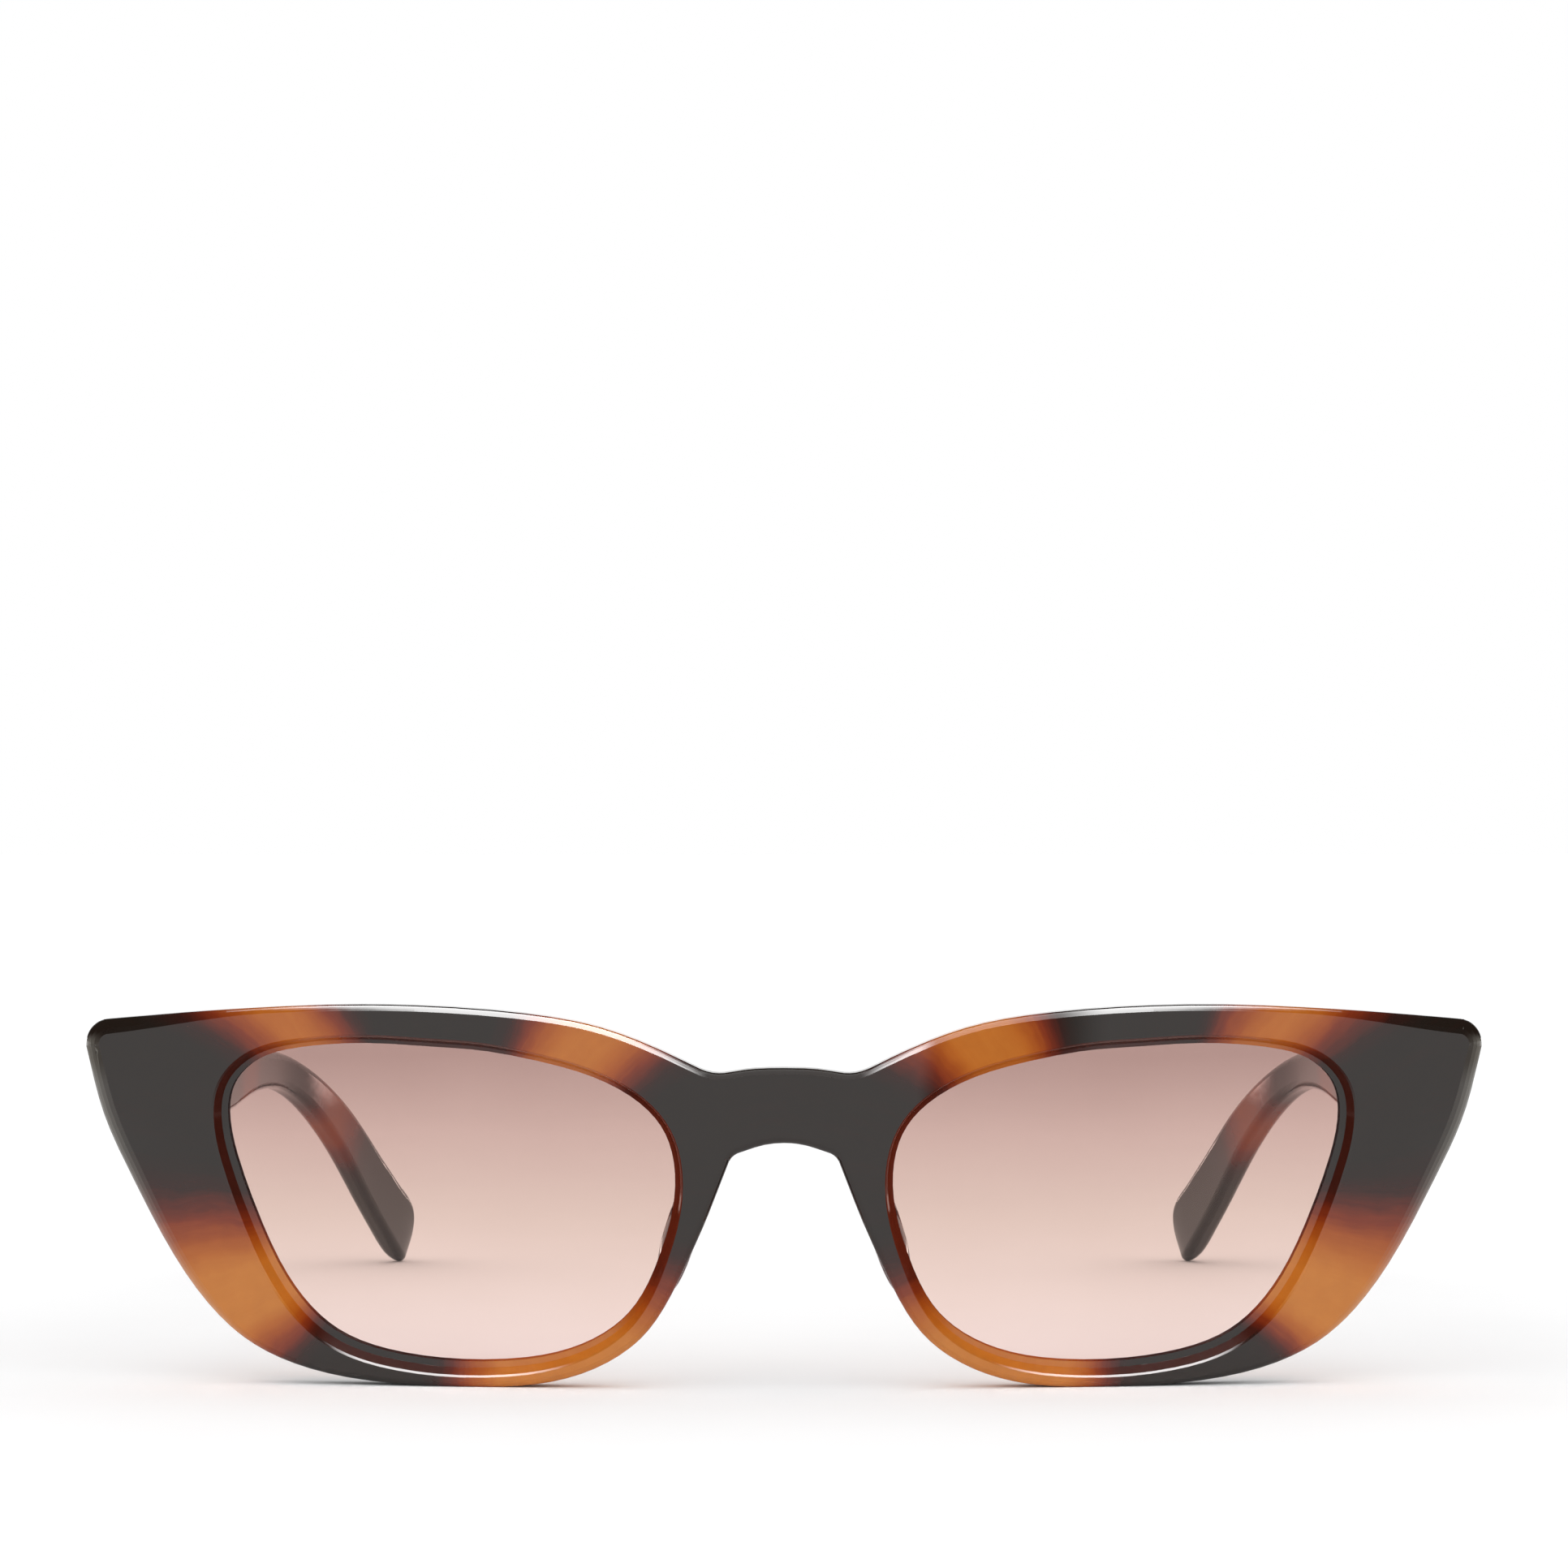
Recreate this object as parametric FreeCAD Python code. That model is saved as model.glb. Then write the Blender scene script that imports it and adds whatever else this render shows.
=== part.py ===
"""Cat-eye sunglasses with a curved acetate front, two tinted lenses and two folding temples.

While modelling, X runs across the face with 0 on the plane of symmetry, Y from the front face towards the
ears, and Z up from the plane the sunglasses stand on. The wearer looks along -Y, so the wearer's left is at
+X. Each side is modelled at +X and mirrored. On export the origin moves to the nose saddle.
"""

import FreeCAD
import Part
import math
import os

V = FreeCAD.Vector

# Front
FRONT_RADIUS = 265.0  # the front is bent round a vertical axis, a base 2 curve
FRONT_THICK = 4.0
SADDLE_HEIGHT = 24.5  # underside of the bridge above the standing plane
BRIDGE_HEIGHT = 32.0
WING_CENTRE, WING_RADIUS = (68.5, 34.0), 2.5  # rounding of the cat-eye corner
NOSE_CENTRE, NOSE_RADIUS = (3.95, 21.9), 1.7  # rounding of the upper corners of the nose gap
BACK_ROUNDING = 0.9  # outer edge of the back face
OVERSHOOT = 0.15  # how far bevels run past the front and back faces before they are trimmed
EDGE_POINTS = 12  # outlines are closed curves split into edges of this many points
NEAR, FAR = -4.0, 40.0  # flat ends of the solids that are trimmed to the curved front
BEVEL_WIDTH, WING_BEVEL = 0.6, 0.9  # of the outer bevel, and what the wings add to it
WING_START, WING_RUN = 52.0, 18.0  # where the bevel begins to widen, and over what distance
CROWN_START = 22.0  # degrees between the face and the start of the crowned bevel
CROWN_DEPTH, CROWN_SLOPE = 0.25, 0.6  # depth of the bevel: a constant and a share of its width

# Lenses
MOUTH = ((1.0, 0.0), (0.86, 0.085), (0.42, 1.13))  # profile down to the lens: (share of its width, depth)
GROOVE_TOP, GROOVE_MID, GROOVE_END = 1.25, 2.25, 3.25  # depths of the V groove behind the front face
GROOVE = 0.8  # how far the groove runs into the rim
LENS_TOP, LENS_END = 1.3, 3.2  # depths of the lens faces
LENS_GAP = 0.03  # play of the lens in its groove
BACK_BEVEL = 0.5  # of the opening, at the back face

# End blocks, which carry the front halves of the hinges
BUTT_Y = 14.6  # back face of the block, which the open temple meets
BLOCK_IN, BLOCK_OUT = 59.0, 67.4
BLOCK_LOW, BLOCK_HIGH = 25.5, 35.5
BLOCK_START = 4.0  # y where the block begins, inside the wing
BLOCK_ROOT = 2.0  # extra width at the wing
SLOPE_START, SLOPE_END = 10.2, 0.3  # the inner side slopes from this y to this far inside the butt face

# Hinges: five knuckles on a vertical screw, three on the front and two on the temple
AXIS_X = 61.35
AXIS_Y = BUTT_Y + 2.05
HINGE_Z = 30.5
KNUCKLES = 5
KNUCKLE_R, KNUCKLE_H, KNUCKLE_GAP = 1.45, 1.0, 0.06
KNUCKLE_STEP = KNUCKLE_H + KNUCKLE_GAP
STACK_LOW = HINGE_Z - (KNUCKLES * KNUCKLE_H + (KNUCKLES - 1) * KNUCKLE_GAP) / 2
STACK_HIGH = 2 * HINGE_Z - STACK_LOW
NECK = 1.2  # half the width of the arm that joins a knuckle to its leaf
SCREW_R, THREAD_R, BORE_R = 0.70, 0.72, 0.75
HEAD_R, HEAD_H, HEAD_ROUNDING = 1.2, 0.6, 0.24
SLOT_W, SLOT_TURN = 0.22, 30.0  # width of the screwdriver slots, and the turn of the hinge screw's
LEAF_T, LEAF_ROUNDING = 0.9, 1.2
LEAF_SPARE = 1.0  # of the temple leaf, trimmed off where it meets the end block
FRONT_LEAF_W, FRONT_LEAF_H = 3.3, 9.4
TEMPLE_LEAF_L, TEMPLE_LEAF_H = 11.6, 5.6
TANG_L, TANG_H = 1.2, 2.4  # foot of the temple leaf that holds the core wire

# Micro screws that hold the leaves
MICRO_R, MICRO_L, MICRO_TIP = 0.5, 3.1, 0.3
MICRO_HEAD_R, MICRO_HEAD_H = 0.85, 0.4
FRONT_MICRO_Z = 3.75  # above and below the middle of the hinge
TEMPLE_MICRO_Y = (19.9, 23.2)

# Temples, modelled parallel to Y and then turned inwards about the hinge axis
LEFT_LEAN, RIGHT_LEAN = 1.7, 2.8  # degrees the open temples lean inwards
TEMPLE_GAP = 0.12  # between the end block and the open temple
TEMPLE_IN, TEMPLE_OUT = 63.2, 67.4
TEMPLE_ROUNDING = 0.95
CORE_X = (TEMPLE_IN + TEMPLE_OUT) / 2
CORE_W, CORE_T, CORE_ROUNDING = 1.5, 0.9, 0.27  # core wire: height, thickness and edges
CORE_END = 137.0  # y of its end
CORE_STEP = 2.0  # between its first two sections
TEMPLE_BODY = (  # lower edge point, upper edge point and thickness, from the hinge to the bend
    ((65.3, 11.0, 25.5), (65.3, 11.0, 35.7), 4.2),
    ((65.28, 30.0, 24.65), (65.28, 30.0, 34.15), 4.1),
    ((65.2, 45.0, 24.0), (65.2, 45.0, 32.9), 3.9),
    ((65.1, 58.0, 23.9), (65.1, 58.0, 31.85), 3.7),
    ((65.05, 68.0, 24.35), (65.05, 68.0, 31.0), 3.55),
    ((65.0, 80.0, 24.9), (65.0, 80.0, 30.0), 3.4),
    ((64.9, 91.0, 24.8), (64.8, 91.9, 29.2), 3.25),
    ((64.4, 100.0, 24.2), (64.2, 101.6, 28.2), 3.15),
    ((62.8, 109.6, 21.7), (62.4, 112.1, 25.65), 3.05),
    ((60.2, 120.4, 15.6), (59.4, 123.4, 20.4), 2.95),
)
PADDLE_START = (57.3, 132.6, 10.8)  # where the straight tip begins
PADDLE_FALL, PADDLE_LEAN = 34.0, 0.2  # its fall in degrees, and how much it leans inwards per mm
PADDLE_TWIST = 12.0  # degrees the upper edge of the tip leans inwards
PADDLE_FLAT, PADDLE_END = 10.8, 14.8  # along the tip: where its upper corner starts, and the end
PADDLE_HALF, PADDLE_THICK = 3.7, 2.75
PADDLE_WIDTHS = ((0.0, 3.35), (6.0, 3.6), (PADDLE_FLAT, PADDLE_HALF))  # half widths along the tip
TIP_CORNER = 0.7  # rounding of the lower corner of the tip
TIP_TURNS = (25, 45, 60, 72, 81, 87)  # degrees of the sections round the end of the tip
BODY_SECTIONS = 34

# Nose pads
PAD_LEAN = 16.0  # slope, seen from the front
PAD_Z = 15.2
PAD_RINGS = (  # sections from inside the rim backwards: y, x, half length, half width
    (3.0, 9.85, 5.9, 1.1),
    (5.0, 9.95, 6.0, 1.15),
    (6.5, 10.4, 5.8, 1.15),
    (8.0, 10.95, 5.4, 1.05),
    (9.0, 11.3, 4.7, 0.85),
    (9.6, 11.5, 3.7, 0.6),
    (9.85, 11.6, 2.2, 0.3),
)

ORIGIN = V(0, FRONT_THICK / 2, SADDLE_HEIGHT)
BIG = 200.0


def axis_y(x, depth):
    """Y of the point at lateral place x that lies depth behind the curved front face."""
    r = FRONT_RADIUS - depth
    return FRONT_RADIUS - math.sqrt(r * r - x * x)


def spline(points, start, end):
    """Smooth curve through (x, z) points, with (x, z) directions at its ends."""
    curve = Part.BSplineCurve()
    poles = [V(x, 0, z) for x, z in points]
    first, last = (V(x, 0, z) for x, z in (start, end))
    curve.interpolate(Points=poles, InitialTangent=first, FinalTangent=last)
    return curve


def along(curve, count):
    """(point, direction) pairs along a curve, its last point left out."""
    lo, hi = curve.FirstParameter, curve.LastParameter
    pairs = []
    for i in range(count):
        u = lo + (hi - lo) * i / count
        pairs.append((curve.value(u), curve.tangent(u)[0]))
    return pairs


def round_corner(centre, radius, start, end, count):
    """(point, direction) pairs round an arc from one angle to another, in degrees, both ends included."""
    turn = 1 if end > start else -1
    pairs = []
    for i in range(count + 1):
        a = math.radians(start + (end - start) * i / count)
        p = V(centre[0] + radius * math.cos(a), 0, centre[1] + radius * math.sin(a))
        pairs.append((p, V(-turn * math.sin(a), 0, turn * math.cos(a))))
    return pairs


def with_normals(pairs):
    """[(x, z, nx, nz)] for a clockwise loop, where n points out of it."""
    return [(p.x, p.z, -d.z, d.x) for p, d in pairs]


def arc_end(centre, radius, angle):
    a = math.radians(angle)
    return (centre[0] + radius * math.cos(a), centre[1] + radius * math.sin(a))


def turned(angle, sign):
    """Unit direction of travel on an arc at an angle; sign is -1 for clockwise."""
    a = math.radians(angle)
    return (-sign * math.sin(a), sign * math.cos(a))


def front_outline():
    """The front's outer edge: brow, wing corner, cheek and rim bottom, nose side, saddle, mirror image."""
    wing_in, wing_out = 84.5, -14.0
    nose_in, nose_out = 21.0, 72.0
    brow = [
        (0, BRIDGE_HEIGHT),
        (4.4, 31.75),
        (7.0, 31.5),
        (9.4, 32.4),
        (13.4, 34.25),
        (18.6, 36.1),
        (25.5, 37.35),
        (35.5, 38.1),
        (46.0, 38.15),
        (57.5, 37.5),
        arc_end(WING_CENTRE, WING_RADIUS, wing_in),
    ]
    cheek = [
        arc_end(WING_CENTRE, WING_RADIUS, wing_out),
        (69.3, 27.3),
        (66.2, 20.6),
        (62.8, 14.35),
        (58.9, 8.7),
        (54.2, 4.35),
        (47.6, 1.5),
        (39.5, 0.22),
        (31.0, -0.05),
        (24.6, 0.32),
        (18.7, 2.0),
        (14.1, 5.15),
        (11.1, 9.6),
        (8.6, 14.9),
        arc_end(NOSE_CENTRE, NOSE_RADIUS, nose_in),
    ]
    saddle = [
        arc_end(NOSE_CENTRE, NOSE_RADIUS, nose_out),
        (2.4, 24.2),
        (0, SADDLE_HEIGHT),
    ]
    level = (1, 0)
    half = along(spline(brow, level, turned(wing_in, -1)), 44)
    half += round_corner(WING_CENTRE, WING_RADIUS, wing_in, wing_out, 10)[:-1]
    half += along(spline(cheek, turned(wing_out, -1), turned(nose_in, 1)), 54)
    half += round_corner(NOSE_CENTRE, NOSE_RADIUS, nose_in, nose_out, 6)[:-1]
    half += along(spline(saddle, turned(nose_out, 1), (-1, 0)), 6)
    end = (V(0, 0, SADDLE_HEIGHT), V(-1, 0, 0))
    right = with_normals(half + [end])
    left = [(-x, z, -nx, nz) for x, z, nx, nz in reversed(right[1:-1])]
    return right + left


def lens_outline():
    """Visible edge of one lens, at +X, as seen from the front."""
    points = [
        (33.0, 33.85),
        (41.5, 34.3),
        (48.6, 33.85),
        (53.3, 32.45),
        (55.7, 29.9),
        (56.15, 26.5),
        (55.2, 22.2),
        (53.0, 16.3),
        (49.6, 9.8),
        (45.3, 5.5),
        (38.2, 3.05),
        (28.9, 2.5),
        (21.3, 3.75),
        (15.6, 7.3),
        (12.4, 13.3),
        (10.9, 19.9),
        (12.1, 25.8),
        (16.4, 29.75),
        (24.4, 32.55),
    ]
    curve = Part.BSplineCurve()
    curve.interpolate(Points=[V(x, 0, z) for x, z in points], PeriodicFlag=True)
    return with_normals(along(curve, 96))


def closed_wire(points):
    """Smooth closed wire through the points, in edges of EDGE_POINTS points each."""
    curve = Part.BSplineCurve()
    steps = [float(i) for i in range(len(points) + 1)]
    curve.interpolate(Points=points, PeriodicFlag=True, Parameters=steps)
    edges = []
    for start in range(0, len(points), EDGE_POINTS):
        piece = curve.copy()
        piece.segment(start, start + EDGE_POINTS)
        edges.append(piece.toShape())
    return Part.Wire(edges)


def grown(outline, grow):
    """(x, z) points of an outline moved outwards by grow, a number or a function of (x, z, nx, nz)."""
    moved = []
    for x, z, nx, nz in outline:
        g = grow(x, z, nx, nz) if callable(grow) else grow
        moved.append((x + nx * g, z + nz * g))
    return moved


def bent_ring(outline, grow, depth):
    """The outline moved outwards by grow and laid on the curved sheet depth behind the front face.

    Both may be numbers or functions of (x, z, nx, nz)."""
    deep = [depth(*at) if callable(depth) else depth for at in outline]
    return closed_wire([V(x, axis_y(x, d), z) for (x, z), d in zip(grown(outline, grow), deep)])


def flat_ring(outline, grow, y):
    return closed_wire([V(x, y, z) for x, z in grown(outline, grow)])


def stack(rings):
    """Solid whose sides run straight from ring to ring. The first and last rings are flat."""
    faces = [Part.Face(rings[0]), Part.Face(rings[-1])]
    for a, b in zip(rings, rings[1:]):
        for edge_a, edge_b in zip(a.Edges, b.Edges):
            faces.append(Part.makeRuledSurface(edge_a, edge_b))
    shell = Part.makeShell(faces)
    shell.sewShape()
    solid = Part.makeSolid(shell)
    if solid.Volume < 0:
        solid.reverse()
    return solid


def sheet(depth):
    """Everything behind the surface that lies depth behind the front face."""
    tall = 80.0
    return Part.makeCylinder(FRONT_RADIUS - depth, tall, V(0, FRONT_RADIUS, -20), V(0, 0, 1))


def eased(t):
    t = min(max(t, 0.0), 1.0)
    return t * t * (3 - 2 * t)


def outer_bevel(x, z, nx, nz):
    """Width of the front's outer bevel, which widens towards the cat-eye wings."""
    return BEVEL_WIDTH + WING_BEVEL * eased((abs(x) - WING_START) / WING_RUN)


def inner_bevel(x, z, nx, nz):
    """Width of the mouth round a lens: wide at the temple side and below, narrow at the nose."""
    return 1.2 + 0.4 * math.copysign(nx, nx * x) - 0.3 * nz


def crowned(width):
    """(grow, depth) rings of a crowned bevel: it leaves the face at an angle and ends flush with the side."""
    steps = 5
    past = 0.3  # of the first step, by which the bevel runs on in front of the face
    start = math.radians(CROWN_START)
    shares = []
    for i in range(steps + 1):
        a = start + (math.pi / 2 - start) * i / steps
        inset = (1 - math.sin(a)) / (1 - math.sin(start))
        shares.append((inset, (math.cos(start) - math.cos(a)) / math.cos(start)))
    (u0, v0), (u1, v1) = shares[:2]
    shares[0] = (u0 + (u0 - u1) * past, v0 - (v1 - v0) * past)

    def ring(u, v):
        return (lambda *at: -u * width(*at)), (lambda *at: v * (CROWN_DEPTH + CROWN_SLOPE * width(*at)))

    return [ring(u, v) for u, v in shares]


def front_blank(outline):
    """The whole front with its edges rounded and no openings."""
    rings = crowned(outer_bevel)
    back = FRONT_THICK - BACK_ROUNDING
    for a in (0, 30, 60, 80):
        turn = math.radians(a)
        rings.append((-BACK_ROUNDING * (1 - math.cos(turn)), back + BACK_ROUNDING * math.sin(turn)))
    inset = rings[-1][0] - 0.5
    rings.append((inset, FRONT_THICK + OVERSHOOT))
    wires = [flat_ring(outline, rings[0][0], NEAR)]
    wires += [bent_ring(outline, grow, depth) for grow, depth in rings]
    wires.append(flat_ring(outline, inset, FAR))
    return stack(wires).common(sheet(0)).cut(sheet(FRONT_THICK))


def lens_opening(outline):
    """Cutter for one lens: the stepped bevel down to the lens, its V groove, and a small bevel behind."""
    def mouth(share):
        return lambda *at: share * inner_bevel(*at)

    (first, _), (second, drop) = MOUTH[:2]
    past = mouth(first + (first - second) * OVERSHOOT / drop)
    rings = [(past, -OVERSHOOT)]
    rings += [(mouth(share), depth) for share, depth in MOUTH[1:]]
    rings += [(0, GROOVE_TOP), (GROOVE, GROOVE_MID), (0, GROOVE_END)]
    rings.append((BACK_BEVEL, FRONT_THICK + OVERSHOOT))
    wires = [flat_ring(outline, past, NEAR)]
    wires += [bent_ring(outline, grow, depth) for grow, depth in rings]
    wires.append(flat_ring(outline, BACK_BEVEL, FAR))
    return stack(wires)


def lens(outline):
    """One lens: a curved sheet with a V edge that sits in the groove."""
    slope = GROOVE / (GROOVE_MID - GROOVE_TOP)
    margin = 0.2
    low = -LENS_GAP - slope * margin
    wires = [flat_ring(outline, low, NEAR), bent_ring(outline, low, GROOVE_TOP - margin)]
    wires.append(bent_ring(outline, GROOVE - LENS_GAP, GROOVE_MID))
    wires += [bent_ring(outline, low, GROOVE_END + margin), flat_ring(outline, low, FAR)]
    return stack(wires).common(sheet(LENS_TOP)).cut(sheet(LENS_END))


def box(x0, x1, y0, y1, z0, z1):
    return Part.makeBox(x1 - x0, y1 - y0, z1 - z0, V(x0, y0, z0))


def rounded_section(centre, u, v, half_u, half_v, radius):
    """Rounded rectangle in the plane of the unit vectors u and v."""
    def at(a, b):
        return centre + u * a + v * b

    edges = []
    corners = [(1, 1), (-1, 1), (-1, -1), (1, -1)]
    diagonal = radius * math.sqrt(0.5)
    for i, (su, sv) in enumerate(corners):
        cu, cv = su * (half_u - radius), sv * (half_v - radius)
        ends = [at(cu + su * radius, cv), at(cu, cv + sv * radius)]
        if su * sv < 0:
            ends.reverse()
        edges.append(Part.Arc(ends[0], at(cu + su * diagonal, cv + sv * diagonal), ends[1]).toShape())
        nu, nv = corners[(i + 1) % 4]
        if su != nu:
            nxt = at(nu * (half_u - radius), nv * half_v)
        else:
            nxt = at(nu * half_u, nv * (half_v - radius))
        edges.append(Part.makeLine(ends[1], nxt))
    return Part.Wire(edges)


def end_block():
    """Block behind one wing, which the open temple meets. Its inner side slopes back from the front."""
    inner, outer = BLOCK_IN - 2 * BLOCK_ROOT, BLOCK_OUT
    centre = V((inner + outer) / 2, BLOCK_START, (BLOCK_LOW + BLOCK_HIGH) / 2)
    half_x, half_z = (outer - inner) / 2, (BLOCK_HIGH - BLOCK_LOW) / 2
    section = rounded_section(centre, V(1, 0, 0), V(0, 0, 1), half_x, half_z, TEMPLE_ROUNDING)
    bar = Part.Face(section).extrude(V(0, BUTT_Y - BLOCK_START, 0))
    root, end = BLOCK_IN - BLOCK_ROOT, BLOCK_IN + SLOPE_END
    plan = [(root, BLOCK_START), (root, SLOPE_START), (end, BUTT_Y), (BIG, BUTT_Y), (BIG, BLOCK_START)]
    corners = [V(x, y, 0) for x, y in plan + plan[:1]]
    wedge = Part.Face(Part.makePolygon(corners)).extrude(V(0, 0, BIG))
    return bar.common(wedge).common(sheet(GROOVE_MID))


def rounded_plate(x0, x1, y0, y1, z0, z1, axis):
    """Hinge plate: a box whose four edges along the axis ("x" or "y") are rounded."""
    plate = box(x0, x1, y0, y1, z0, z1)
    edges = []
    for edge in plate.Edges:
        d = edge.tangentAt(edge.FirstParameter)
        if abs(d.x if axis == "x" else d.y) > 0.9:
            edges.append(edge)
    return plate.makeFillet(LEAF_ROUNDING, edges)


def knuckle(level):
    """One barrel of the hinge, numbered from below."""
    return Part.makeCylinder(KNUCKLE_R, KNUCKLE_H, V(AXIS_X, AXIS_Y, STACK_LOW + level * KNUCKLE_STEP))


def rod(radius, low, high):
    """Cylinder along the hinge axis between two heights."""
    return Part.makeCylinder(radius, high - low, V(AXIS_X, AXIS_Y, low))


def arm(level, x0, x1, y0, y1):
    """Bar between a knuckle and its leaf."""
    low = STACK_LOW + level * KNUCKLE_STEP
    return box(x0, x1, y0, y1, low, low + KNUCKLE_H)


def front_leaf():
    """Half hinge on the end block: a plate with three knuckles, the lowest one threaded."""
    half_w, half_h = FRONT_LEAF_W / 2, FRONT_LEAF_H / 2
    back = BUTT_Y - LEAF_T
    low, high = HINGE_Z - half_h, HINGE_Z + half_h
    leaf = rounded_plate(AXIS_X - half_w, AXIS_X + half_w, back, BUTT_Y, low, high, "y")
    for level in (0, 2, 4):
        reach = arm(level, AXIS_X - NECK, AXIS_X + NECK, BUTT_Y - LEAF_T / 2, AXIS_Y)
        leaf = leaf.fuse(knuckle(level).fuse(reach))
    threaded_to = STACK_LOW + KNUCKLE_H + KNUCKLE_GAP / 2
    return leaf.cut(rod(THREAD_R, 0, threaded_to)).cut(rod(BORE_R, threaded_to, BIG))


def temple_leaf():
    """Half hinge on the temple: a plate with two knuckles, and a foot that holds the core wire."""
    start, end = BUTT_Y - LEAF_SPARE, BUTT_Y + TEMPLE_LEAF_L
    half_h = TEMPLE_LEAF_H / 2
    side = TEMPLE_IN + LEAF_T
    leaf = rounded_plate(TEMPLE_IN, side, start, end, HINGE_Z - half_h, HINGE_Z + half_h, "x")
    low = core_height(end) - TANG_H / 2
    leaf = leaf.fuse(box(TEMPLE_IN, CORE_X + CORE_T / 2, end - TANG_L, end, low, low + TANG_H))
    for level in (1, 3):
        reach = arm(level, AXIS_X, TEMPLE_IN + LEAF_T / 2, AXIS_Y - NECK, AXIS_Y + NECK)
        leaf = leaf.fuse(knuckle(level).fuse(reach))
    return leaf.cut(rod(BORE_R, 0, BIG))


def slot_cutter(half_length, depth, place, rotation):
    """Cutter for the screwdriver slot of a head whose top is at the place."""
    cutter = box(-half_length, half_length, -SLOT_W / 2, SLOT_W / 2, -depth, BIG)
    cutter.Placement = FreeCAD.Placement(place, rotation)
    return cutter


def micro_screw(head, direction):
    """Countersunk screw whose flat head lies at the point head: (its body, the cutter for its slot)."""
    shank_l = MICRO_L - MICRO_TIP
    cone = Part.makeCone(MICRO_HEAD_R, MICRO_R, MICRO_HEAD_H, head, direction)
    shank = Part.makeCylinder(MICRO_R, shank_l, head, direction)
    tip = Part.makeCone(MICRO_R, MICRO_R / 2, MICRO_TIP, head + direction * shank_l, direction)
    outwards = FreeCAD.Rotation(V(0, 0, 1), direction * -1)
    return cone.fuse(shank).fuse(tip), slot_cutter(MICRO_HEAD_R, SLOT_W, head, outwards)


def hinge_screw():
    """Vertical screw of one hinge, its slotted head on the top knuckle and its end in the threaded one."""
    head = Part.makeCylinder(HEAD_R, HEAD_H, V(AXIS_X, AXIS_Y, STACK_HIGH))
    head = head.makeFillet(HEAD_ROUNDING, [head.Edges[0]])
    slot_floor = V(AXIS_X, AXIS_Y, STACK_HIGH + HEAD_H / 2)
    slot = slot_cutter(HEAD_R, 0, slot_floor, FreeCAD.Rotation(V(0, 0, 1), SLOT_TURN))
    return rod(SCREW_R, STACK_LOW, STACK_HIGH).fuse(head).cut(slot)


def through(points, steps):
    """Smooth curve through 3-D points at the given parameters."""
    curve = Part.BSplineCurve()
    curve.interpolate(Points=points, Parameters=steps)
    return curve


def temple_stations():
    """Stations along one temple: (lower edge point, upper edge point, thickness)."""
    body = [(V(*lower), V(*upper), thick) for lower, upper, thick in TEMPLE_BODY]
    for s, half in PADDLE_WIDTHS:
        body.append(paddle_station(s, half, half, PADDLE_THICK))
    return body


def paddle_station(s, down, up, thick):
    """Station on the straight paddle at the end of the temple, s along it."""
    fall, twist = math.radians(PADDLE_FALL), math.radians(PADDLE_TWIST)
    x, y, z = PADDLE_START
    centre = V(x - s * PADDLE_LEAN, y + s * math.cos(fall), z - s * math.sin(fall))
    side = V(-math.sin(twist), math.cos(twist) * math.sin(fall), math.cos(twist) * math.cos(fall))
    return (centre - side * down, centre + side * up, thick)


def temple_sections():
    """Evenly spaced sections (centre, up direction, half height, thickness), closing round at the tip."""
    stations = temple_stations()
    steps = [0.0]
    for a, b in zip(stations, stations[1:]):
        steps.append(steps[-1] + ((b[0] + b[1]) * 0.5 - (a[0] + a[1]) * 0.5).Length)
    lower = through([s[0] for s in stations], steps)
    upper = through([s[1] for s in stations], steps)
    thickness = through([V(s[2], t, 0) for s, t in zip(stations, steps)], steps)
    rows = []
    for i in range(BODY_SECTIONS + 1):
        t = steps[-1] * i / BODY_SECTIONS
        rows.append((lower.value(t), upper.value(t), thickness.value(t).x))
    for turn in TIP_TURNS:
        c, s = math.cos(math.radians(turn)), math.sin(math.radians(turn))
        reach = PADDLE_FLAT + (PADDLE_END - PADDLE_FLAT) * s
        down = PADDLE_HALF - TIP_CORNER * (1 - c)
        up = (PADDLE_HALF + down) * c ** 0.9 - down
        rows.append(paddle_station(reach, down, up, PADDLE_THICK * c ** 0.5))
    return [((a + b) * 0.5, (b - a).normalize(), (b - a).Length / 2, t) for a, b, t in rows]


def core_height(y):
    """Height of the core wire at a place near the hinge, halfway up the temple."""
    first, second = temple_stations()[:2]
    t = (y - first[0].y) / (second[0].y - first[0].y)
    middles = [(lower.z + upper.z) / 2 for lower, upper, _ in (first, second)]
    return middles[0] + t * (middles[1] - middles[0])


def across(up):
    """Direction of a section's thickness: X, made square to the section's up direction."""
    return (V(1, 0, 0) - up * up.x).normalize()


def temple_body():
    wires = []
    for centre, up, half, thick in temple_sections():
        radius = min(TEMPLE_ROUNDING, 0.45 * thick, 0.9 * half)
        wires.append(rounded_section(centre, across(up), up, thick / 2, half, radius))
    return Part.makeLoft(wires, True, False)


def core_wire():
    """Flat wire inside the temple, from the foot of the leaf to the tip."""
    start = BUTT_Y + TEMPLE_LEAF_L
    places = [(V(CORE_X, start, core_height(start)), V(0, 0, 1))]
    places += [(c, up) for c, up, _, _ in temple_sections() if start + CORE_STEP < c.y < CORE_END]
    wires = [rounded_section(c, across(up), up, CORE_T / 2, CORE_W / 2, CORE_ROUNDING) for c, up in places]
    return Part.makeLoft(wires, True, False)


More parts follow.
